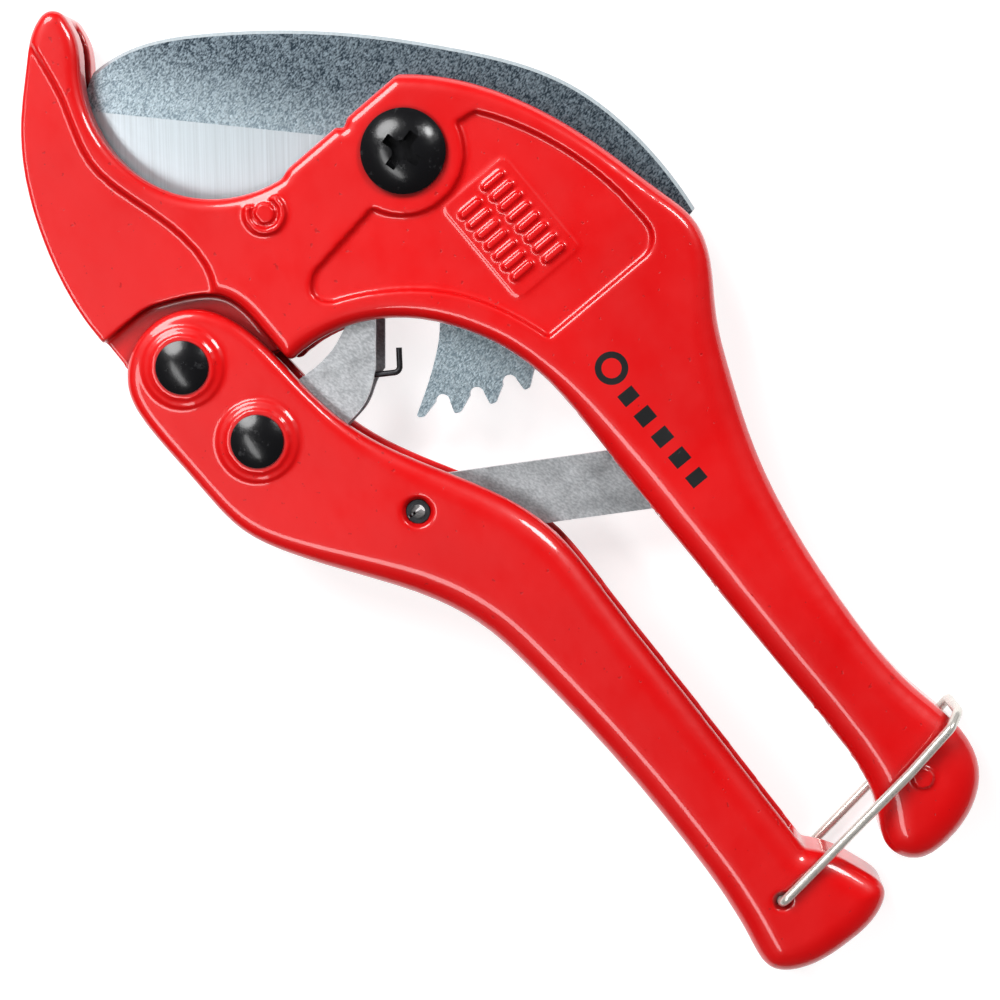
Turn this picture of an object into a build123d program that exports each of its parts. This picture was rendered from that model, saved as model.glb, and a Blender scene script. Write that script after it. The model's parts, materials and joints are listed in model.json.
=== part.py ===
from build123d import *
import math
import os

# Ratcheting cutter for plastic pipe, lying flat on its rear side.
# +X runs towards the ends of the handles, +Z is the tool's thickness.
# Outlines are measured from the blade's pivot, in the tool's middle plane.

os.makedirs("parts", exist_ok=True)

# Place of the blade's pivot: the origin is the bottom centre of the whole tool.
PIVOT_X = -46.1
PIVOT_Y = 15.4
MID_Z = 10.0

# Pivots and pins, measured from the blade's pivot.
HANDLE_PIVOT = (3.5, -50.8)
PAWL_PIVOT = (20.8, -49.1)
STRIP_PIVOT = (46.7, -36.3)
CLASP_PIVOT = (135.1, -31.4)

# Thicknesses, given as distances from the middle plane.
BODY_HALF = 7.0
JAW_HALF = 6.0
GRIP_ROUND = 2.6
JAW_ROUND = 1.0
WEB_HALF = 3.8
LOWER_HALF = 7.6
CHEEK_INNER = 4.1
BOSS_HALF = 8.6
CHANNEL_HALF = 4.2
POCKET_HALF = 4.0
PAWL_OUTER = 3.7
PAWL_INNER = 2.6
SLOT_HALF = 1.8
BLADE_HALF = 1.5
STRIP_HALF = 1.0

# Round features.
SEAT_CENTRE = (-31.4, -15.3)
SEAT_RADIUS = 21.8
JAW_SLOT_RADIUS = 60.0
HEAD_SLOT_RADIUS = 44.4
TAIL_SLOT_RADIUS = 49.0
TOOTH_TIP_RADIUS = 43.8
TOOTH_ROOT_RADIUS = 40.3
TOOTH_PITCH = 8.1
TOOTH_COUNT = 6
FIRST_GULLET = -31.6
TOOTH_ROUND = 0.4
SCREW_SHANK = 3.0
SCREW_HEAD = 7.0
BUSHING_OUTER = 5.0
RIVET_SHANK = 3.0
RIVET_HEAD = 4.4
RUNNING_GAP = 0.05
SEATED_GAP = 0.02
PIN_RADIUS = 1.95
PIN_RECESS = 2.5
PIN_HALF = LOWER_HALF - 0.8
WIRE_RECESS = 1.5
NUT_RECESS = 7.0
NUT_FLOOR = 4.4
WIRE_RADIUS = 0.8
SPRING_WIRE = 0.5


def level(height):
    """Plane parallel to the tool's faces, centred on the blade's pivot."""
    return Plane(origin=(PIVOT_X, PIVOT_Y, MID_Z + height))


def polar(radius, degrees):
    angle = math.radians(degrees)
    return (radius * math.cos(angle), radius * math.sin(angle))


def on_seat(degrees):
    """Point on the jaw's round seat, measured from the blade's pivot."""
    x, y = polar(SEAT_RADIUS, degrees)
    return (SEAT_CENTRE[0] + x, SEAT_CENTRE[1] + y)


def upright(place):
    """Plane through a pivot with local y along the tool's thickness, for turned parts."""
    origin = (PIVOT_X + place[0], PIVOT_Y + place[1], MID_Z)
    return Plane(origin=origin, x_dir=(1, 0, 0), z_dir=(0, -1, 0))


def pin_axis(place):
    return Axis((PIVOT_X + place[0], PIVOT_Y + place[1], 0), (0, 0, 1))


def at(x, y, height):
    """Point in space, measured from the blade's pivot in the middle plane."""
    return Vector(PIVOT_X + x, PIVOT_Y + y, MID_Z + height)


def outline_edges(context, half):
    """The curved edges of a casting's two flat faces, the longest two last."""
    curved = context.edges().filter_by(GeomType.LINE, reverse=True).sort_by(SortBy.LENGTH)
    return [edge for edge in curved if edge.length > 8 and abs(abs(edge.center().Z - MID_Z) - half) < 0.1]


def finish(name, part):
    part.label = name
    export_step(part, f"parts/{name}.step")


# ---------------------------------------------------------------- upper handle

HEAD_EDGE_X = -10.4
SEAT_START = 235.4

with BuildPart() as upper_handle:
    # Jaw, head and handle at full thickness.
    with BuildSketch(level(-BODY_HALF)):
        with BuildLine():
            back = Spline(
                (HEAD_EDGE_X, 7.4),
                (0.9, 17.2),
                (19.5, 25.0),
                (32.5, 28.1),
                (38.8, 29.2),
                (43.4, 28.2),
                (53.3, 22.1),
                (61.6, 18.0),
                (74.6, 12.9),
                (89.0, 9.5),
                (104.8, 7.7),
                (122.2, 8.0),
                (132.5, 9.4),
                (139.0, 7.6),
                (143.3, 2.6),
                (145.1, -3.8),
                (144.0, -10.2),
                (139.9, -12.3),
                (133.5, -9.6),
                (124.5, -7.4),
                (108.0, -7.0),
                (75.8, -6.5),
                (58.8, -6.1),
                (48.7, -5.8),
                (41.4, -6.4),
                (35.9, -7.8),
                (28.7, -11.2),
                (22.2, -16.1),
                (18.0, -21.2),
                (15.1, -27.4),
                (14.1, -36.9),
            )
            recess_flat = Line(back @ 1, (5.9, -36.9))
            recess = Spline(
                recess_flat @ 1,
                (-2.2, -39.0),
                (-7.0, -46.6),
                (-8.4, -58.9),
                tangents=[(-1, 0), (0, -1)],
            )
            jaw_outer = Spline(
                recess @ 1,
                (-17.2, -58.3),
                (-27.8, -55.5),
                (-37.3, -51.2),
                (-45.4, -45.2),
                (-51.0, -39.2),
                (-54.6, -34.8),
                (-55.8, -31.8),
            )
            tip = ThreePointArc(jaw_outer @ 1, (-55.1, -29.4), (-52.9, -28.7))
            tip_inner = Spline(
                tip @ 1,
                (-50.2, -29.2),
                (-46.4, -31.2),
                on_seat(SEAT_START),
                tangents=[tip % 1, polar(1, SEAT_START + 90)],
            )
            seat = ThreePointArc(tip_inner @ 1, on_seat(290), on_seat(352))
            Polyline(
                seat @ 1,
                (HEAD_EDGE_X, -16.4),
                (HEAD_EDGE_X, -6.0),
                (-9.4, -5.2),
                (HEAD_EDGE_X, -3.6),
                back @ 0,
            )
        make_face()
    extrude(amount=2 * BODY_HALF)
    fillet(outline_edges(upper_handle, BODY_HALF)[-2:], GRIP_ROUND)
    fillet(outline_edges(upper_handle, BODY_HALF)[:10], JAW_ROUND)

    # Web under the lower handle's head, with the handles' pivot in it.
    with BuildSketch(level(-WEB_HALF)):
        with BuildLine():
            Polyline((-8.4, -58.8), (-3.5, -58.9), (3.5, -59.0))
            ThreePointArc((3.5, -59.0), (11.7, -50.8), (9.3, -45.0))
            Polyline((9.3, -45.0), (11.5, -36.0), (-12.0, -34.0), (-8.4, -58.8))
        make_face()
    extrude(amount=2 * WEB_HALF)

    # The jaw's outer panel lies a little lower than the band along the seat.
    for side in (-1, 1):
        with BuildSketch(level(side * JAW_HALF)):
            with BuildLine():
                band = Spline(
                    (-60.0, -33.6),
                    (-53.2, -35.6),
                    (-43.0, -37.6),
                    (-32.5, -40.7),
                    (-19.6, -38.3),
                    (-12.0, -36.8),
                    (-5.9, -37.2),
                    (-1.0, -40.5),
                )
                Polyline(band @ 1, (-1.0, -64.0), (-60.0, -64.0), band @ 0)
            make_face()
        extrude(amount=side * BODY_HALF, mode=Mode.SUBTRACT)

    # Sunk panel on both faces of the head.
    PANEL_DEPTH = 1.0
    for side in (-1, 1):
        with BuildSketch(level(side * (BODY_HALF - PANEL_DEPTH))):
            with BuildLine():
                panel_top = Spline((2.5, 13.2), (15.8, 20.1), (25.1, 22.4), (34.2, 23.0))
                panel_corner = ThreePointArc(panel_top @ 1, (37.3, 21.9), (38.6, 18.9))
                panel_side = Line(panel_corner @ 1, (38.6, -1.3))
                panel_arch = Spline(
                    panel_side @ 1, (29.9, -4.5), (23.7, -8.2), (17.0, -15.0), (11.2, -25.0)
                )
                panel_foot = Spline(panel_arch @ 1, (8.6, -26.6), (5.4, -24.0))
                panel_left = Line(panel_foot @ 1, (3.6, -9.8))
                boss_edge = ThreePointArc(panel_left @ 1, (9.9, 1.6), (1.9, 9.6))
                Line(boss_edge @ 1, panel_top @ 0)
            make_face()
        extrude(amount=side * 1.5, mode=Mode.SUBTRACT)

    # Blade slot: the jaw's fork, the head's fork and the tail's way round.
    with BuildSketch(level(-SLOT_HALF)):
        Circle(HEAD_SLOT_RADIUS)
        with BuildLine():
            Line((0, 0), polar(JAW_SLOT_RADIUS, 150))
            ThreePointArc(
                polar(JAW_SLOT_RADIUS, 150),
                polar(JAW_SLOT_RADIUS, 200),
                polar(JAW_SLOT_RADIUS, 238),
            )
            Polyline(polar(JAW_SLOT_RADIUS, 238), (2.0, -17.5), (0, 0))
        make_face()
        with BuildLine():
            Line((0, 0), polar(TAIL_SLOT_RADIUS, -28))
            ThreePointArc(
                polar(TAIL_SLOT_RADIUS, -28),
                polar(TAIL_SLOT_RADIUS, 10),
                polar(TAIL_SLOT_RADIUS, 39.5),
            )
            Line(polar(TAIL_SLOT_RADIUS, 39.5), (38.0, 34.0))
            Line((38.0, 34.0), (0, 0))
        make_face()
    extrude(amount=2 * SLOT_HALF, mode=Mode.SUBTRACT)

    # Pocket that the pawl's cheeks swing in, open towards the window.
    with BuildSketch(level(-POCKET_HALF)):
        with BuildLine():
            Polyline(
                (10.6, -36.0), (10.6, -22.0), (16.0, -14.5), (24.0, -8.0),
                (34.0, -5.0), (34.0, -24.0), (20.0, -40.0), (10.6, -36.0),
            )
        make_face()
    extrude(amount=2 * POCKET_HALF, mode=Mode.SUBTRACT)

    # Channel along the handle, open on the side that faces the other handle.
    with BuildSketch(level(-CHANNEL_HALF)):
        with BuildLine():
            channel_top = Spline(
                (50.5, 14.0), (58.0, 14.8), (72.0, 8.7), (97.0, 3.0), (110.0, 2.9), (124.0, 4.4)
            )
            Polyline(channel_top @ 1, (127.0, -3.0), (124.0, -14.0), (50.5, -14.0), channel_top @ 0)
        make_face()
    extrude(amount=2 * CHANNEL_HALF, mode=Mode.SUBTRACT)

    # Cast bosses on the front: a blank marking pad with two rows of plain bars.
    PAD_LOW = BODY_HALF - PANEL_DEPTH
    PAD_RISE = 0.2
    BAR_WIDTH = 1.1
    with BuildSketch(level(PAD_LOW)):
        with Locations((20.8, 5.5)):
            RectangleRounded(19.4, 13.0, 1.0)
    extrude(amount=PAD_RISE)
    with BuildSketch(level(PAD_LOW + PAD_RISE)):
        for row, bars in ((8.2, 8), (2.4, 7)):
            with Locations((20.8, row)):
                with GridLocations(2.2, 1.0, bars, 1):
                    RectangleRounded(BAR_WIDTH, 4.2, 0.45)
    extrude(amount=PANEL_DEPTH - 2 * PAD_RISE)

    # Cast ring with a dome in it, beside the seat.
    with BuildSketch(level(BODY_HALF - 0.2)):
        with Locations((-7.0, -24.0)):
            Circle(3.4)
            Circle(2.5, mode=Mode.SUBTRACT)
            Circle(1.6)
    extrude(amount=0.9)

    # Shoulder in the channel that the return spring stands against.
    with BuildSketch(level(-CHANNEL_HALF)):
        with BuildLine():
            Polyline((104.0, 4.5), (104.0, -4.2), (107.0, -4.2), (108.5, 4.5), (104.0, 4.5))
        make_face()
    extrude(amount=2 * CHANNEL_HALF)

    # Low bump on each side of the bulb that keeps the clasp from sliding off.
    for side in (-1, 1):
        with BuildSketch(level(side * (BODY_HALF - 0.2))):
            with Locations((133.6, -0.4)):
                Circle(1.7)
        extrude(amount=side * 0.9)

    # Bores for the screw and the handles' pivot, and the nut's round recess.
    with BuildSketch(level(-BODY_HALF - 1)):
        Circle(SCREW_SHANK + SEATED_GAP)
        with Locations(HANDLE_PIVOT):
            Circle(RIVET_SHANK + RUNNING_GAP)
    extrude(amount=2 * BODY_HALF + 2, mode=Mode.SUBTRACT)
    with BuildSketch(level(-NUT_FLOOR)):
        Circle(NUT_RECESS)
    extrude(amount=-BODY_HALF, mode=Mode.SUBTRACT)

finish("upper_handle", upper_handle.part)

# ---------------------------------------------------------------- lower handle

with BuildPart() as lower_handle:
    with BuildSketch(level(-LOWER_HALF)):
        with BuildLine():
            Spline(
                (131.0, -23.1),
                (136.0, -19.5),
                (140.2, -17.9),
                (144.6, -17.2),
                (147.3, -21.0),
                (148.0, -27.5),
                (146.9, -35.4),
                (143.2, -40.3),
                (137.6, -40.0),
                (129.0, -38.6),
                (118.0, -37.9),
                (105.2, -37.7),
                (92.0, -38.1),
                (78.0, -39.1),
                (69.8, -40.2),
                (60.0, -43.8),
                (48.0, -51.3),
                (38.0, -57.7),
                (30.5, -61.0),
                (20.0, -61.8),
                (8.0, -62.0),
                (0.4, -60.6),
                (-4.2, -56.0),
                (-5.4, -49.2),
                (-2.6, -43.0),
                (3.5, -39.4),
                (13.7, -37.9),
                (27.4, -36.3),
                (43.5, -29.3),
                (54.0, -23.9),
                (63.0, -21.2),
                (75.9, -21.1),
                (100.0, -21.9),
                (118.5, -22.6),
                (131.0, -23.1),
            )
        make_face()
    extrude(amount=2 * LOWER_HALF)

    # Channel between the cheeks, open towards the other handle and at the head.
    with BuildSketch(level(-CHEEK_INNER)):
        with BuildLine():
            channel_floor = Spline(
                (17.0, -58.2), (27.5, -57.8), (36.5, -54.6), (48.5, -46.3), (63.0, -37.9),
                (78.0, -34.0), (92.0, -32.2), (105.0, -32.4), (126.0, -34.2),
            )
            Polyline(channel_floor @ 1, (129.0, -24.0), (128.0, -8.0), (17.0, -8.0))
            Polyline((17.0, -8.0), (-12.0, -34.0), (-12.0, -66.0), (15.0, -66.0), channel_floor @ 0)
        make_face()
    extrude(amount=2 * CHEEK_INNER, mode=Mode.SUBTRACT)

    # Stepped bosses under the rivet heads, on both sides.
    for side in (-1, 1):
        for step_radius, step_height in ((6.6, 0.5), (5.3, BOSS_HALF - LOWER_HALF)):
            with BuildSketch(level(side * LOWER_HALF)):
                with Locations(HANDLE_PIVOT, PAWL_PIVOT):
                    Circle(step_radius)
            extrude(amount=side * step_height)

    # Shallow counterbores round the roll pin's ends and where the clasp's wire bends outwards.
    for side in (-1, 1):
        with BuildSketch(level(side * PIN_HALF)):
            with Locations(STRIP_PIVOT):
                Circle(PIN_RECESS)
            with Locations(CLASP_PIVOT):
                Circle(WIRE_RECESS)
        extrude(amount=side * 2, mode=Mode.SUBTRACT)

    # Bores: rivets, roll pin and the clasp's ends.
    with BuildSketch(level(-BOSS_HALF - 1)):
        with Locations(HANDLE_PIVOT, PAWL_PIVOT):
            Circle(RIVET_SHANK + SEATED_GAP)
        with Locations(STRIP_PIVOT):
            Circle(PIN_RADIUS + SEATED_GAP)
        with Locations(CLASP_PIVOT):
            Circle(WIRE_RADIUS + RUNNING_GAP)
    extrude(amount=2 * BOSS_HALF + 2, mode=Mode.SUBTRACT)

finish("lower_handle", lower_handle.part)

# ---------------------------------------------------------------- blade

BEVEL_WIDTH = 13.5
BEVEL_START = (-10.8, -8.3)
BEVEL_ANGLE = 223.9
EDGE_HALF = 0.12
SPINE_CHAMFER = 0.6
SECTOR_START = -38.2

with BuildPart() as blade:
    with BuildSketch(level(-BLADE_HALF)) as blade_outline:
        with BuildLine():
            spine = Spline(
                (-44.2, -31.5),
                (-43.3, -25.0),
                (-36.5, -12.5),
                (-21.0, 5.7),
                (-8.5, 16.8),
                (8.5, 27.8),
                (22.0, 30.9),
                (37.6, 30.6),
            )
            tail = Line(spine @ 1, (37.9, 29.2))
            tail_round = ThreePointArc(tail @ 1, polar(47.9, 30), polar(46.0, 22))
            sector_top = Line(tail_round @ 1, polar(TOOTH_TIP_RADIUS, 19.0))
            sector_back = ThreePointArc(
                sector_top @ 1,
                polar(TOOTH_TIP_RADIUS, -10),
                polar(TOOTH_TIP_RADIUS, SECTOR_START),
            )
            sector_left = Spline(
                sector_back @ 1, (29.2, -18.6), (24.7, -13.7), (12.0, -10.0), (-1.4, -18.0)
            )
            edge = Line(sector_left @ 1, polar(55.0, 236.6))
            nose = ThreePointArc(edge @ 1, polar(55.2, 228.0), spine @ 0)
        make_face()
        # Ratchet teeth: rounded gullets that lean back, cut into the sector's rim.
        for tooth in range(TOOTH_COUNT):
            gullet = FIRST_GULLET + tooth * TOOTH_PITCH
            with BuildLine():
                root = ThreePointArc(
                    polar(TOOTH_ROOT_RADIUS + 1.2, gullet - 2.1),
                    polar(TOOTH_ROOT_RADIUS, gullet - 0.2),
                    polar(TOOTH_ROOT_RADIUS + 1.4, gullet + 1.4),
                )
                Polyline(
                    root @ 1,
                    polar(TOOTH_TIP_RADIUS + 0.4, gullet + 2.0),
                    polar(TOOTH_TIP_RADIUS + 0.4, gullet - 5.4),
                    root @ 0,
                )
            make_face(mode=Mode.SUBTRACT)
        rim = blade_outline.vertices().filter_by(
            lambda corner: abs(math.hypot(corner.X, corner.Y) - TOOTH_TIP_RADIUS) < 0.02
        )
        fillet(rim, TOOTH_ROUND)
    extrude(amount=2 * BLADE_HALF)
    spine_rims = blade.edges().filter_by(GeomType.BSPLINE).sort_by(SortBy.LENGTH)[-2:]
    chamfer(spine_rims, SPINE_CHAMFER)

    # Ground bevel on both sides, down to the cutting edge.
    bevel_dir = Vector(*polar(1.0, BEVEL_ANGLE))
    across = Vector(*polar(1.0, BEVEL_ANGLE + 90))
    bevel_origin = Vector(PIVOT_X, PIVOT_Y, MID_Z) + Vector(*BEVEL_START) - bevel_dir * 16
    with BuildSketch(Plane(origin=bevel_origin, x_dir=across, z_dir=bevel_dir)):
        for side in (-1, 1):
            with BuildLine():
                Polyline(
                    (0, side * BLADE_HALF),
                    (BEVEL_WIDTH, side * EDGE_HALF),
                    (BEVEL_WIDTH + 5, side * EDGE_HALF),
                    (BEVEL_WIDTH + 5, side * 3),
                    (0, side * 3),
                    (0, side * BLADE_HALF),
                )
            make_face()
    extrude(amount=70, mode=Mode.SUBTRACT)

    with BuildSketch(level(-BLADE_HALF - 1)):
        Circle(BUSHING_OUTER + RUNNING_GAP)
    extrude(amount=2 * BLADE_HALF + 2, mode=Mode.SUBTRACT)

finish("blade", blade.part)

# ---------------------------------------------------------------- blade pivot

HEAD_RISE = 2.7
RECESS_LENGTH = 6.8
RECESS_WIDTH = 1.7
RECESS_TURN = 14

with BuildPart() as blade_screw:
    with BuildSketch(upright((0, 0))):
        with BuildLine():
            Polyline((0, -9.7), (SCREW_SHANK, -9.7), (SCREW_SHANK, BODY_HALF))
            Polyline((SCREW_SHANK, BODY_HALF), (SCREW_HEAD, BODY_HALF), (SCREW_HEAD, BODY_HALF + 0.9))
            ThreePointArc(
                (SCREW_HEAD, BODY_HALF + 0.9),
                (4.6, BODY_HALF + 2.25),
                (0, BODY_HALF + HEAD_RISE),
            )
            Line((0, BODY_HALF + HEAD_RISE), (0, -9.7))
        make_face()
    revolve(axis=pin_axis((0, 0)))
    # Cross recess with a deeper, squarer middle.
    with BuildSketch(level(BODY_HALF + 0.5)):
        for turn in (RECESS_TURN, RECESS_TURN + 90):
            Rectangle(RECESS_LENGTH, RECESS_WIDTH, rotation=turn)
        Rectangle(3.3, 3.3, rotation=RECESS_TURN + 45)
    extrude(amount=HEAD_RISE + 1, mode=Mode.SUBTRACT)

finish("blade_screw", blade_screw.part)

with BuildPart() as blade_bushing:
    with BuildSketch(level(-SLOT_HALF + SEATED_GAP)):
        Circle(BUSHING_OUTER)
        Circle(SCREW_SHANK + SEATED_GAP, mode=Mode.SUBTRACT)
    extrude(amount=2 * (SLOT_HALF - SEATED_GAP))

finish("blade_bushing", blade_bushing.part)

SHIM_OUTER = 8.8
for shim_name, side in (("blade_shim_front", 1), ("blade_shim_rear", -1)):
    with BuildPart() as blade_shim:
        with BuildSketch(level(side * (BLADE_HALF + SEATED_GAP))):
            Circle(SHIM_OUTER)
            Circle(BUSHING_OUTER + SEATED_GAP, mode=Mode.SUBTRACT)
        extrude(amount=side * (SLOT_HALF - BLADE_HALF - 2 * SEATED_GAP))
    finish(shim_name, blade_shim.part)

NUT_WASHER = 0.9
with BuildPart() as nut_washer:
    with BuildSketch(level(-NUT_FLOOR - SEATED_GAP)):
        Circle(5.4)
        Circle(SCREW_SHANK + SEATED_GAP, mode=Mode.SUBTRACT)
        with Locations((4.2, 0)):
            Rectangle(3.4, 0.7, rotation=25, mode=Mode.SUBTRACT)
    extrude(amount=-NUT_WASHER)

finish("nut_washer", nut_washer.part)

NUT_TOP = -NUT_FLOOR - NUT_WASHER - 2 * SEATED_GAP
NUT_END = -9.6
with BuildPart() as blade_nut:
    with BuildSketch(level(NUT_TOP)):
        RegularPolygon(radius=5.0, side_count=6, major_radius=False, rotation=12)
    extrude(amount=NUT_END - NUT_TOP)
    # Both faces of the hexagon are turned off to a cone at the corners.
    with BuildSketch(upright((0, 0))):
        with BuildLine():
            Polyline((0, NUT_TOP), (5.0, NUT_TOP), (6.2, NUT_TOP - 0.7))
            Polyline((6.2, NUT_TOP - 0.7), (6.2, NUT_END + 0.7), (5.0, NUT_END), (0, NUT_END))
            Line((0, NUT_END), (0, NUT_TOP))
        make_face()
    revolve(axis=pin_axis((0, 0)), mode=Mode.INTERSECT)
    with BuildSketch(level(NUT_TOP + 1)):
        Circle(SCREW_SHANK + SEATED_GAP)
    extrude(amount=NUT_END - NUT_TOP - 2, mode=Mode.SUBTRACT)

finish("blade_nut", blade_nut.part)

# ---------------------------------------------------------------- rivets

RIVET_TOP = 9.9
RIVET_END = -10.0
TAIL_RADIUS = 3.9
RIVET_WASHER = 0.5


def dome_middle(radius, base, top):
    """A point halfway out on a dome, from its rim's radius and its two heights."""
    rise = abs(top - base)
    sphere = (radius**2 + rise**2) / (2 * rise)
    drop = sphere - math.sqrt(sphere**2 - (radius / 2) ** 2)
    return (radius / 2, top - math.copysign(drop, top - base))


for rivet_name, place in (("handle_rivet", HANDLE_PIVOT), ("pawl_rivet", PAWL_PIVOT)):
    tail_top = -BOSS_HALF - RIVET_WASHER - 2 * SEATED_GAP
    head_base = BOSS_HALF + 0.3
    with BuildPart() as rivet:
        with BuildSketch(upright(place)):
            with BuildLine():
                ThreePointArc(
                    (0, RIVET_END), dome_middle(TAIL_RADIUS, tail_top, RIVET_END), (TAIL_RADIUS, tail_top)
                )
                Polyline((TAIL_RADIUS, tail_top), (RIVET_SHANK, tail_top), (RIVET_SHANK, BOSS_HALF))
                Polyline((RIVET_SHANK, BOSS_HALF), (RIVET_HEAD, BOSS_HALF), (RIVET_HEAD, head_base))
                ThreePointArc(
                    (RIVET_HEAD, head_base), dome_middle(RIVET_HEAD, head_base, RIVET_TOP), (0, RIVET_TOP)
                )
                Line((0, RIVET_TOP), (0, RIVET_END))
            make_face()
        revolve(axis=pin_axis(place))
    finish(rivet_name, rivet.part)

    with BuildPart() as rivet_washer:
        with BuildSketch(level(-BOSS_HALF - SEATED_GAP)):
            with Locations(place):
                Circle(4.8)
                Circle(RIVET_SHANK + SEATED_GAP, mode=Mode.SUBTRACT)
        extrude(amount=-RIVET_WASHER)
    finish(rivet_name + "_washer", rivet_washer.part)

# ---------------------------------------------------------------- pawl

with BuildPart() as drive_pawl:
    # Two cheeks; the rear one's arm is a little wider.
    for side, arm_shift in ((1, 0.0), (-1, 0.9)):
        with BuildSketch(level(side * PAWL_INNER)):
            with BuildLine():
                left = Spline(
                    (15.4, -47.5),
                    (16.6, -41.0),
                    (17.3, -33.8),
                    (16.7, -29.5),
                    (15.4, -26.0),
                    (15.2, -22.6),
                )
                crown = ThreePointArc(
                    left @ 1, (15.7, -20.9), (17.4 + 0.6 * arm_shift, -21.3 + 0.8 * arm_shift)
                )
                arm = Line(crown @ 1, (24.0 + 0.6 * arm_shift, -26.9 + 0.8 * arm_shift))
                right = Spline(
                    arm @ 1,
                    (25.5, -28.9),
                    (27.1, -31.8),
                    (27.9, -36.0),
                    (28.3, -42.0),
                    (26.2, -47.5),
                )
                ThreePointArc(right @ 1, (20.8, -54.6), left @ 0)
            make_face()
        extrude(amount=side * (PAWL_OUTER - PAWL_INNER))

    # Drive nose: the web that joins the cheeks, just outside the ratchet's rim.
    with BuildSketch(level(-PAWL_INNER)):
        with BuildLine():
            nose_face = ThreePointArc(polar(44.7, -66.5), polar(44.7, -61.0), polar(44.7, -56.5))
            Polyline(nose_face @ 1, (25.0, -40.0), (22.6, -42.8), (18.4, -43.2), nose_face @ 0)
        make_face()
    extrude(amount=2 * PAWL_INNER)

    with BuildSketch(level(-PAWL_OUTER - 1)):
        with Locations(PAWL_PIVOT):
            Circle(RIVET_SHANK + RUNNING_GAP)
    extrude(amount=2 * PAWL_OUTER + 2, mode=Mode.SUBTRACT)

finish("drive_pawl", drive_pawl.part)

SLEEVE_OUTER = 3.6
SLEEVE_HALF = PAWL_INNER - 0.1
with BuildPart() as pawl_sleeve:
    with BuildSketch(level(-SLEEVE_HALF)):
        with Locations(PAWL_PIVOT):
            Circle(SLEEVE_OUTER)
            Circle(RIVET_SHANK + SEATED_GAP, mode=Mode.SUBTRACT)
    extrude(amount=2 * SLEEVE_HALF)

finish("pawl_sleeve", pawl_sleeve.part)

# Torsion spring: two turns on the sleeve, a hooked leg up beside
# the blade and a short leg against the lower handle's floor.
COIL_RADIUS = 4.25
COIL_PITCH = 1.15
COIL_TURNS = 2
COIL_LOW = -1.2
HOOK_HEIGHT = 2.05

with BuildPart() as pawl_spring:
    coil_height = COIL_PITCH * COIL_TURNS
    coil_centre = at(*PAWL_PIVOT, COIL_LOW)
    with BuildLine():
        coil = Helix(COIL_PITCH, coil_height, COIL_RADIUS, center=coil_centre)
    with BuildSketch(Plane(origin=coil @ 0, z_dir=coil % 0)):
        Circle(SPRING_WIRE)
    sweep(path=coil, is_frenet=True)
    coil_end = coil @ 1
    with BuildLine():
        hook = FilletPolyline(
            coil_end,
            at(26.4, -44.0, 1.4),
            at(26.5, -37.0, HOOK_HEIGHT),
            at(24.2, -28.3, HOOK_HEIGHT),
            at(26.9, -24.2, HOOK_HEIGHT),
            at(23.7, -21.7, HOOK_HEIGHT),
            radius=1.0,
        )
    with BuildSketch(Plane(origin=hook @ 0, z_dir=hook % 0)):
        Circle(SPRING_WIRE)
    sweep(path=hook)
    with BuildLine():
        foot = Line(coil @ 0, at(25.05, -56.6, COIL_LOW))
    with BuildSketch(Plane(origin=foot @ 0, z_dir=foot % 0)):
        Circle(SPRING_WIRE)
    sweep(path=foot)

finish("pawl_spring", pawl_spring.part)

# ---------------------------------------------------------------- return linkage

STRIP_ANGLE = 58.2
STRIP_LENGTH = 47.5
STRIP_WIDTH = 10.6

with BuildPart() as return_strip:
    strip_plane = Plane(
        origin=at(*STRIP_PIVOT, -STRIP_HALF), x_dir=polar(1, STRIP_ANGLE) + (0,), z_dir=(0, 0, 1)
    )
    half_width = STRIP_WIDTH / 2
    with BuildSketch(strip_plane):
        with BuildLine():
            Line((0, -half_width), (STRIP_LENGTH - 7, -half_width))
            Line((STRIP_LENGTH - 7, -half_width), (STRIP_LENGTH - 2, -3.2))
            ThreePointArc((STRIP_LENGTH - 2, -3.2), (STRIP_LENGTH, 0), (STRIP_LENGTH - 2, 3.2))
            Line((STRIP_LENGTH - 2, 3.2), (STRIP_LENGTH - 7, half_width))
            Line((STRIP_LENGTH - 7, half_width), (0, half_width))
            ThreePointArc((0, half_width), (-half_width, 0), (0, -half_width))
        make_face()
        Circle(PIN_RADIUS + RUNNING_GAP, mode=Mode.SUBTRACT)
    extrude(amount=2 * STRIP_HALF)

finish("return_strip", return_strip.part)

with BuildPart() as strip_roll_pin:
    with BuildSketch(level(-PIN_HALF)):
        with Locations(STRIP_PIVOT):
            Circle(PIN_RADIUS)
            Circle(1.15, mode=Mode.SUBTRACT)
        with Locations((STRIP_PIVOT[0] - 0.25, STRIP_PIVOT[1] - 1.6)):
            Rectangle(0.45, 2.0, rotation=-10, mode=Mode.SUBTRACT)
    extrude(amount=2 * PIN_HALF)

finish("strip_roll_pin", strip_roll_pin.part)

# Compression spring between the strip's end and the shoulder in the channel.
RETURN_RADIUS = 2.7
RETURN_WIRE = 0.45
RETURN_PITCH = 2.5
RETURN_TURNS = 11

with BuildPart() as return_spring:
    with BuildLine():
        spiral = Helix(
            RETURN_PITCH,
            RETURN_PITCH * RETURN_TURNS,
            RETURN_RADIUS,
            center=at(75.6, 1.7, 0),
            direction=(1, -0.11, 0),
        )
    with BuildSketch(Plane(origin=spiral @ 0, z_dir=spiral % 0)):
        Circle(RETURN_WIRE)
    sweep(path=spiral, is_frenet=True)

finish("return_spring", return_spring.part)

# ---------------------------------------------------------------- wire clasp

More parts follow.
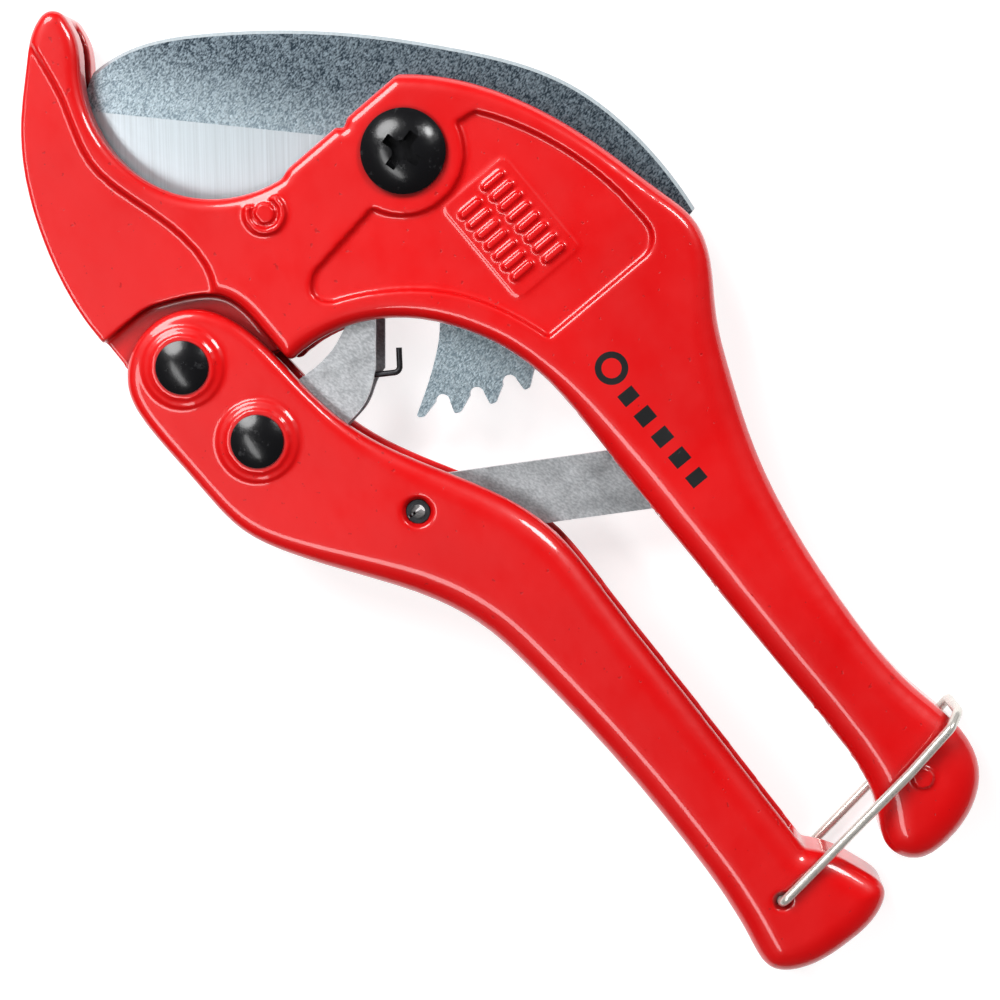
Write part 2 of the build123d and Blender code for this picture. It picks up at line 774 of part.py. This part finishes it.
# One bent wire: in at one side of the lower handle, up beside the bulb,
# over its top and down the other side. Its legs clear the faces by the running gap.
LEG_HEIGHT = LOWER_HALF + WIRE_RADIUS + RUNNING_GAP
with BuildPart() as wire_clasp:
    with BuildLine():
        bail = FilletPolyline(
            at(*CLASP_PIVOT, 3.5),
            at(*CLASP_PIVOT, LEG_HEIGHT),
            at(131.4, -1.5, 8.7),
            at(129.7, 8.3, 8.95),
            at(128.8, 11.0, 6.6),
            at(128.8, 11.0, -6.6),
            at(129.7, 8.3, -8.95),
            at(131.4, -1.5, -8.7),
            at(*CLASP_PIVOT, -LEG_HEIGHT),
            at(*CLASP_PIVOT, -3.5),
            radius=(1.2, 12.0, 2.0, 2.0, 2.0, 2.0, 12.0, 1.2),
        )
    with BuildSketch(Plane(origin=bail @ 0, z_dir=bail % 0)):
        Circle(WIRE_RADIUS)
    sweep(path=bail)

finish("wire_clasp", wire_clasp.part)
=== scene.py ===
"""Ratcheting plastic-pipe cutter: looks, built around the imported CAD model."""
import json
import math

import bpy
from mathutils import Matrix, Vector
from mathutils.kdtree import KDTree


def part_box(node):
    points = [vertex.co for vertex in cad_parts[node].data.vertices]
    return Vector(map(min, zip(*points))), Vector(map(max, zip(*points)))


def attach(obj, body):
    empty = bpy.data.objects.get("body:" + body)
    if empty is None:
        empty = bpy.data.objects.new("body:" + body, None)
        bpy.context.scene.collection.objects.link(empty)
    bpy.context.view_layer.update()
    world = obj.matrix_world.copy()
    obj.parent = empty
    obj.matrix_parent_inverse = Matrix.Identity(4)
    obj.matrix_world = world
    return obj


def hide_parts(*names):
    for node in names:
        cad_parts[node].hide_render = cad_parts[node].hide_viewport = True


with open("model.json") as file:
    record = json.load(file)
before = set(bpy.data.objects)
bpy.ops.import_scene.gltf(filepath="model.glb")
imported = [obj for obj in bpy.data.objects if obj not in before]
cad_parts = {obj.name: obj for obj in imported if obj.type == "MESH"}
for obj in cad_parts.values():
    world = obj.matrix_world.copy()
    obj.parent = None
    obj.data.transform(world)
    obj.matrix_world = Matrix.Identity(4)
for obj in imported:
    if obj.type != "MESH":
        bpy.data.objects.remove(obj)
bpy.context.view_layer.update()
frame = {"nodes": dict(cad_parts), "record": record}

scene = bpy.context.scene
MM = 0.001


# ---------------------------------------------------------------- places

def centre(node):
    low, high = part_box(node)
    return (Vector(low) + Vector(high)) / 2


SCREW = centre("blade_screw")
MIDDLE_Z = centre("blade").z
UPPER_HALF = 7 * MM         # the upper handle's faces, over and under the middle plane
LOWER_HALF = 7.6 * MM
JOINTS = {joint["name"]: Vector(joint["pos_m"]) for joint in frame["record"]["behaviour"]["joints"]}


def near_screw(x, y, z=0.0):
    """A point given in millimetres from the blade's pivot in the middle plane."""
    return Vector((SCREW.x + x * MM, SCREW.y + y * MM, MIDDLE_Z + z * MM))


# ---------------------------------------------------------------- camera

FIELD = 165 * MM            # width of view at the tool's face
CAMERA_RISE = 380 * MM      # camera's height over the tool's face
SENSOR = 36.0
VIEW_UP = Vector((-0.766, 0.643, 0.0))      # the tool lies turned by 50 degrees in the view

camera_data = bpy.data.cameras.new("camera")
camera = bpy.data.objects.new("camera", camera_data)
scene.collection.objects.link(camera)
scene.camera = camera
eye = near_screw(45.1, 15.0, 7) + Vector((0, 0, CAMERA_RISE))
aim = near_screw(53.9, -24.6, 7)
forward = (aim - eye).normalized()
right = forward.cross(VIEW_UP).normalized()
up = right.cross(forward)
camera.matrix_world = Matrix.Translation(eye) @ Matrix((right, up, -forward)).transposed().to_4x4()
camera_data.sensor_width = SENSOR
camera_data.lens = SENSOR * (aim - eye).length / FIELD
camera_data.clip_start = 0.01
scene.view_settings.view_transform = "Standard"


# ---------------------------------------------------------------- node helpers

class Look:
    """A material with its shader and short ways to add nodes."""

    def __init__(self, name, color, metallic=0.0, roughness=0.4, **sockets):
        self.material = bpy.data.materials.new(name)
        self.material.use_nodes = True
        self.nodes = self.material.node_tree.nodes
        self.links = self.material.node_tree.links
        self.shader = self.nodes["Principled BSDF"]
        self.shader.inputs["Base Color"].default_value = (*color, 1)
        self.shader.inputs["Metallic"].default_value = metallic
        self.shader.inputs["Roughness"].default_value = roughness
        for socket, value in sockets.items():
            self.shader.inputs[socket.replace("_", " ")].default_value = value
        self.place = self.nodes.new("ShaderNodeTexCoord").outputs["Object"]

    def add(self, kind, inputs=None, **settings):
        node = self.nodes.new(kind)
        for key, value in settings.items():
            setattr(node, key, value)
        for key, value in (inputs or {}).items():
            if isinstance(value, bpy.types.NodeSocket):
                self.links.new(value, node.inputs[key])
            else:
                node.inputs[key].default_value = value
        return node

    def noise(self, per_metre, detail=4.0, rough=0.5, place=None):
        inputs = {"Vector": place or self.place, "Scale": per_metre, "Detail": detail, "Roughness": rough}
        return self.add("ShaderNodeTexNoise", inputs).outputs["Fac"]

    def streaks(self, degrees, along, across, detail=5.0):
        """Noise drawn out in one direction of the tool's faces, by its waves per metre both ways."""
        inputs = {
            "Vector": self.place,
            "Rotation": (0, 0, math.radians(degrees)),
            "Scale": (1 / along, 1 / across, 1 / along),
        }
        place = self.add("ShaderNodeMapping", inputs, vector_type="TEXTURE").outputs["Vector"]
        return self.noise(1.0, detail=detail, place=place)

    def axes(self):
        """Object coordinates in metres, as three sockets."""
        return self.add("ShaderNodeSeparateXYZ", {0: self.place}).outputs

    def spread(self, value, low, high, to_low=0.0, to_high=1.0):
        inputs = {"Value": value, "From Min": low, "From Max": high, "To Min": to_low, "To Max": to_high}
        return self.add("ShaderNodeMapRange", inputs).outputs["Result"]

    def math(self, operation, *values):
        return self.add("ShaderNodeMath", dict(enumerate(values)), operation=operation).outputs[0]

    def mix(self, share, first, second):
        """Blend of two colours, each a socket or three numbers."""
        node = self.nodes.new("ShaderNodeMix")
        node.data_type = "RGBA"
        for key, value in ((0, share), (6, first), (7, second)):
            if isinstance(value, bpy.types.NodeSocket):
                self.links.new(value, node.inputs[key])
            else:
                node.inputs[key].default_value = value if key == 0 else (*value, 1)
        return node.outputs[2]

    def drive(self, socket, value):
        self.links.new(value, self.shader.inputs[socket])

    def bump(self, height, distance, strength=1.0):
        inputs = {"Height": height, "Distance": distance, "Strength": strength}
        self.drive("Normal", self.add("ShaderNodeBump", inputs).outputs["Normal"])


# ---------------------------------------------------------------- materials

RING_AT = near_screw(49.0, 3.4)
RING_RADIUS = 2.2 * MM
RING_HALF_LINE = 0.55 * MM
BARS_AT = near_screw(63.0, 2.6)     # the middle of the row
BAR_PITCH = 4.4 * MM
BAR_HALF_WIDTH = 1.25 * MM
BAR_HALF_HEIGHT = 1.5 * MM
ROW_HALF_LENGTH = 9.8 * MM
INK_DEPTH = 0.4 * MM


def printed_mark(look):
    """Ink on the upper handle's front face: a ring followed by plain bars."""
    x, y, z = look.axes()
    dx = look.math("SUBTRACT", x, RING_AT.x)
    dy = look.math("SUBTRACT", y, RING_AT.y)
    distance = look.math("SQRT", look.math("ADD", look.math("POWER", dx, 2.0), look.math("POWER", dy, 2.0)))
    ring = look.math("COMPARE", distance, RING_RADIUS, RING_HALF_LINE)
    wave = look.math("PINGPONG", look.math("SUBTRACT", x, BARS_AT.x), BAR_PITCH / 2)
    bars = look.math("MULTIPLY", look.math("LESS_THAN", wave, BAR_HALF_WIDTH),
                     look.math("COMPARE", x, BARS_AT.x, ROW_HALF_LENGTH))
    bars = look.math("MULTIPLY", bars, look.math("COMPARE", y, BARS_AT.y, BAR_HALF_HEIGHT))
    front = look.math("GREATER_THAN", z, MIDDLE_Z + UPPER_HALF - INK_DEPTH)
    return look.math("MULTIPLY", look.math("MAXIMUM", ring, bars), front)


INK = (0.010, 0.010, 0.011)
PAINTED_SHADE_REACH = 7 * MM      # how far a neighbour casts painted shade on the enamel


def red_enamel():
    look = Look("red_enamel", (0.80, 0.004, 0.006), roughness=0.36, Coat_Weight=0.8,
                Coat_Roughness=0.06, Specular_IOR_Level=0.35)
    cloud = look.noise(28, detail=3)
    tone = look.mix(look.spread(cloud, 0.35, 0.65), (0.82, 0.002, 0.003), (0.72, 0.001, 0.002))
    specks = look.spread(look.noise(900, detail=2), 0.71, 0.74)
    tone = look.mix(look.math("MULTIPLY", specks, 0.45), tone, (0.28, 0.002, 0.004))
    # Painted shade: the enamel darkens to a deep red-black in creases, recesses and between parts, where
    # neighbours keep the light off.
    painted_shade = look.add("ShaderNodeAmbientOcclusion", {"Distance": PAINTED_SHADE_REACH}, samples=6).outputs["AO"]
    tone = look.mix(look.spread(painted_shade, 0.30, 0.85, 0.88, 0.0), tone, (0.05, 0.0, 0.001))
    look.drive("Base Color", look.mix(printed_mark(look), tone, INK))
    look.drive("Roughness", look.spread(look.noise(120, detail=5), 0.3, 0.7, 0.30, 0.44))
    orange_peel = look.math("ADD", look.noise(260, detail=2), look.math("MULTIPLY", specks, -0.6))
    look.bump(orange_peel, 0.00014, 0.35)
    return look.material


FROM_SPINE = (0.605, -0.835)        # direction from the blade's spine towards its edge


def blade_steel():
    look = Look("blade_steel", (0.55, 0.58, 0.60), metallic=0.85, roughness=0.36)
    x, y, _ = look.axes()
    # Darker along the spine and on the tail.
    down = look.math("ADD", look.math("MULTIPLY", x, FROM_SPINE[0]), look.math("MULTIPLY", y, FROM_SPINE[1]))
    pivot_at = SCREW.x * FROM_SPINE[0] + SCREW.y * FROM_SPINE[1]
    below = look.spread(down, pivot_at - 8 * MM, pivot_at + 2 * MM)
    off_tail = look.math("MAXIMUM", look.spread(x, SCREW.x + 24 * MM, SCREW.x + 12 * MM),
                         look.spread(y, SCREW.y + 12 * MM, SCREW.y + 2 * MM))
    cover = look.math("MULTIPLY", below, off_tail)
    patches = look.noise(1000, detail=4, rough=0.65)
    grain = look.streaks(-78, 2200, 3800, detail=3)
    worn = look.math("ADD", look.math("MULTIPLY", patches, 0.4), look.math("MULTIPLY", grain, 0.6))
    light = look.mix(look.spread(worn, 0.40, 0.60), (0.19, 0.25, 0.29), (0.56, 0.67, 0.73))
    dark = look.mix(look.spread(worn, 0.42, 0.62), (0.025, 0.04, 0.055), (0.32, 0.40, 0.46))
    flat = look.mix(cover, dark, light)
    # Ground: the bevel and the spine's broken edge, which are neither flat nor upright.
    facing = look.add("ShaderNodeNewGeometry").outputs["True Normal"]
    upright = look.math("ABSOLUTE", look.add("ShaderNodeSeparateXYZ", {0: facing}).outputs["Z"])
    ground = look.math("MULTIPLY", look.spread(upright, 0.9985, 0.9970), look.spread(upright, 0.50, 0.55))
    lines = look.streaks(-40, 40, 3800, detail=6)
    bevel = look.mix(look.spread(lines, 0.3, 0.7), (0.45, 0.51, 0.54), (0.55, 0.62, 0.66))
    look.drive("Base Color", look.mix(ground, flat, bevel))
    flat_rough = look.spread(patches, 0.35, 0.65, 0.44, 0.32)
    look.drive("Roughness", look.math("ADD", look.math("MULTIPLY", ground, -0.04), flat_rough))
    look.drive("Metallic", look.spread(ground, 0, 1, 0.85, 0.45))
    mottle = look.math("ADD", grain, look.math("MULTIPLY", patches, 1.5))
    look.bump(look.math("MULTIPLY", mottle, look.spread(ground, 0, 1, 1.0, 0.15)), 0.00006, 0.4)
    return look.material


def zinc_steel():
    look = Look("zinc_steel", (0.72, 0.74, 0.76), metallic=0.75, roughness=0.34)
    grain = look.streaks(20, 1800, 3000, detail=3)
    look.drive("Base Color", look.mix(look.spread(grain, 0.35, 0.65), (0.42, 0.44, 0.46), (0.64, 0.66, 0.68)))
    look.drive("Roughness", look.spread(look.noise(300, detail=5), 0.3, 0.7, 0.28, 0.42))
    look.bump(grain, 0.00004, 0.35)
    return look.material


def black_oxide():
    look = Look("black_oxide", (0.008, 0.008, 0.009), roughness=0.3, Coat_Weight=0.3, Coat_Roughness=0.12,
                Specular_IOR_Level=0.35)
    wear = look.spread(look.noise(420, detail=6, rough=0.65), 0.58, 0.74)
    look.drive("Base Color", look.mix(wear, (0.006, 0.006, 0.007), (0.045, 0.045, 0.048)))
    look.drive("Roughness", look.spread(wear, 0, 1, 0.24, 0.42))
    look.bump(look.noise(700, detail=5), 0.00010, 0.4)
    return look.material


def dark_spring_steel():
    look = Look("dark_spring_steel", (0.04, 0.04, 0.042), metallic=0.8, roughness=0.35)
    look.drive("Base Color", look.mix(look.noise(900, detail=3), (0.01, 0.01, 0.012), (0.07, 0.07, 0.075)))
    look.drive("Roughness", look.spread(look.noise(700, detail=3), 0.3, 0.7, 0.25, 0.45))
    return look.material


def nickel_wire():
    look = Look("nickel_wire", (0.74, 0.71, 0.65), metallic=0.55, roughness=0.28)
    look.drive("Base Color", look.mix(look.noise(260, detail=4), (0.62, 0.59, 0.53), (0.82, 0.79, 0.74)))
    look.drive("Roughness", look.spread(look.noise(500, detail=4), 0.3, 0.7, 0.22, 0.34))
    look.bump(look.noise(1200, detail=3), 0.00003, 0.3)
    return look.material


def bronze():
    look = Look("bronze", (0.55, 0.36, 0.16), metallic=1.0, roughness=0.35)
    look.drive("Base Color", look.mix(look.noise(600, detail=4), (0.42, 0.27, 0.11), (0.64, 0.44, 0.22)))
    return look.material


LOOKS = {
    "red_enamel": red_enamel(),
    "blade_steel": blade_steel(),
    "zinc_steel": zinc_steel(),
    "black_oxide": black_oxide(),
    "dark_spring_steel": dark_spring_steel(),
    "nickel_wire": nickel_wire(),
    "bronze": bronze(),
}
SLOT_OF = {row["node"]: row["material_slot"] for row in frame["record"]["subparts"]}
BODY_OF = {node: body for body, nodes in frame["record"]["behaviour"]["bodies"].items() for node in nodes}

for node, piece in frame["nodes"].items():
    piece.data.materials.clear()
    piece.data.materials.append(LOOKS[SLOT_OF[node]])


# ---------------------------------------------------------------- castings

VOXEL = 0.30 * MM
SMOOTHING = 6
WALL_BAND = (4.7 * MM, 5.5 * MM)    # heights over the middle plane at which a casting's walls are read
HEAD_DROP = 1.6 * MM        # how far the rims roll down
GRIP_DROP = 3.2 * MM


def take_over(node, mesh, name):
    """A new piece with this mesh that stands for a CAD node."""
    piece = bpy.data.objects.new(name, mesh)
    scene.collection.objects.link(piece)
    mesh.materials.clear()
    mesh.materials.append(LOOKS[SLOT_OF[node]])
    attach(piece, BODY_OF[node])
    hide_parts(node)


def with_modifier(mesh, kind, settings):
    """The mesh after one modifier of this type."""
    carrier = bpy.data.objects.new("carrier", mesh)
    scene.collection.objects.link(carrier)
    modifier = carrier.modifiers.new(kind.lower(), kind)
    for key, value in settings.items():
        setattr(modifier, key, value)
    depsgraph = bpy.context.evaluated_depsgraph_get()
    done = bpy.data.meshes.new_from_object(carrier.evaluated_get(depsgraph))
    bpy.data.objects.remove(carrier)
    return done


def remeshed(mesh):
    return with_modifier(mesh, "REMESH", {"mode": "VOXEL", "voxel_size": VOXEL, "use_smooth_shade": True})


def crown(mesh, half, round_at, keep_clear):
    """Rolls the rim of a casting's two flat faces over, by pressing its points towards the middle plane.

    half is the face's height over the middle plane, and round_at gives how far in from the rim
    the roll reaches and how far it drops there. Points within keep_clear of a bore count as face.
    """
    wall = [
        vertex.co.xy.to_3d()
        for vertex in mesh.vertices
        if abs(vertex.normal.z) < 0.3 and WALL_BAND[0] < abs(vertex.co.z - MIDDLE_Z) < WALL_BAND[1]
        and not any((vertex.co.xy - bore.xy).length < reach for bore, reach in keep_clear)
    ]
    rim = KDTree(len(wall))
    for index, point in enumerate(wall):
        rim.insert(point, index)
    rim.balance()
    for vertex in mesh.vertices:
        height = vertex.co.z - MIDDLE_Z
        reach, drop = round_at(vertex.co)
        if abs(height) < half - drop:
            continue
        distance = rim.find(vertex.co.xy.to_3d())[2]
        if distance < reach:
            share = 1 - distance / reach
            limit = half - drop * (1 - math.sqrt(max(0.0, 1 - share * share)))
            if abs(height) > limit:
                vertex.co.z = MIDDLE_Z + math.copysign(limit, height)
    return mesh


def blend_between(value, low, high, at_low, at_high):
    share = min(1.0, max(0.0, (value - low) / (high - low)))
    share = share * share * (3 - 2 * share)
    return at_low + (at_high - at_low) * share


def rim_roll(head_end, grip_start, head_reach, grip_reach):
    """The rim's roll, as (reach, drop) at a point: small on the head and large on the grip."""
    def roll_at(point):
        along = point.x - SCREW.x
        reach = blend_between(along, head_end, grip_start, head_reach, grip_reach)
        drop = blend_between(along, head_end, grip_start, HEAD_DROP, GRIP_DROP)
        return reach, drop
    return roll_at


def casting(node, half, round_at, keep_clear):
    rough = remeshed(frame["nodes"][node].data.copy())
    rolled = remeshed(crown(rough, half, round_at, keep_clear))
    soft = with_modifier(rolled, "SMOOTH", {"factor": 0.5, "iterations": SMOOTHING})
    take_over(node, soft, node + "_casting")


CAST_RING = near_screw(-7, -24)
casting("upper_handle", UPPER_HALF, rim_roll(30 * MM, 70 * MM, 2.2 * MM, 5.5 * MM), [
    (SCREW, 9 * MM), (JOINTS["handle_swing"], 4 * MM), (CAST_RING, 3 * MM),
])
casting("lower_handle", LOWER_HALF, rim_roll(20 * MM, 60 * MM, 2.0 * MM, 5.0 * MM), [
    (JOINTS["handle_swing"], 7 * MM), (JOINTS["pawl_swing"], 7 * MM),
    (JOINTS["strip_swing"], 3 * MM), (JOINTS["clasp_swing"], 2 * MM),
])


# ---------------------------------------------------------------- floor and light

FLOOR_HALF = 3.0
FLOOR_DROP = 0.2 * MM       # keeps the floor clear of the rear side's lowest points

floor_mesh = bpy.data.meshes.new("floor")
corners = [(-FLOOR_HALF, -FLOOR_HALF, 0), (FLOOR_HALF, -FLOOR_HALF, 0),
           (FLOOR_HALF, FLOOR_HALF, 0), (-FLOOR_HALF, FLOOR_HALF, 0)]
floor_mesh.from_pydata(corners, [], [(0, 1, 2, 3)])
floor = bpy.data.objects.new("floor", floor_mesh)
floor.location = (0, 0, -FLOOR_DROP)
scene.collection.objects.link(floor)
floor_look = Look("floor", (0.5, 0.5, 0.5), roughness=0.8, Specular_IOR_Level=0.1)
floor_look.shader.inputs["Emission Color"].default_value = (1, 1, 1, 1)
floor_look.shader.inputs["Emission Strength"].default_value = 0.75
floor_look.drive("Base Color", floor_look.mix(floor_look.noise(3), (0.49, 0.49, 0.49), (0.51, 0.51, 0.51)))
floor.data.materials.append(floor_look.material)

world = bpy.data.worlds.new("studio")
scene.world = world
world.use_nodes = True
world.node_tree.nodes["Background"].inputs["Color"].default_value = (1, 1, 1, 1)
world.node_tree.nodes["Background"].inputs["Strength"].default_value = 0.045


def softbox(name, location, size, power, length=None):
    """A round light turned to the tool, or a strip along it when it is given a length."""
    data = bpy.data.lights.new(name, "AREA")
    data.shape = "ELLIPSE" if length else "DISK"
    data.size = length or size
    data.size_y = size
    data.energy = power
    lamp = bpy.data.objects.new(name, data)
    lamp.location = location
    lamp.rotation_euler = (TOOL - Vector(location)).to_track_quat("-Z", "Y").to_euler()
    scene.collection.objects.link(lamp)


TOOL = Vector((0, 0, MIDDLE_Z))
softbox("key", (-0.10, 0.80, 0.70), size=0.28, power=4.6)
softbox("side", (-0.86, 0.02, 0.80), size=0.62, power=11.4)
softbox("sheen", (-0.05, -0.34, 0.75), size=0.16, power=2.1, length=0.80)
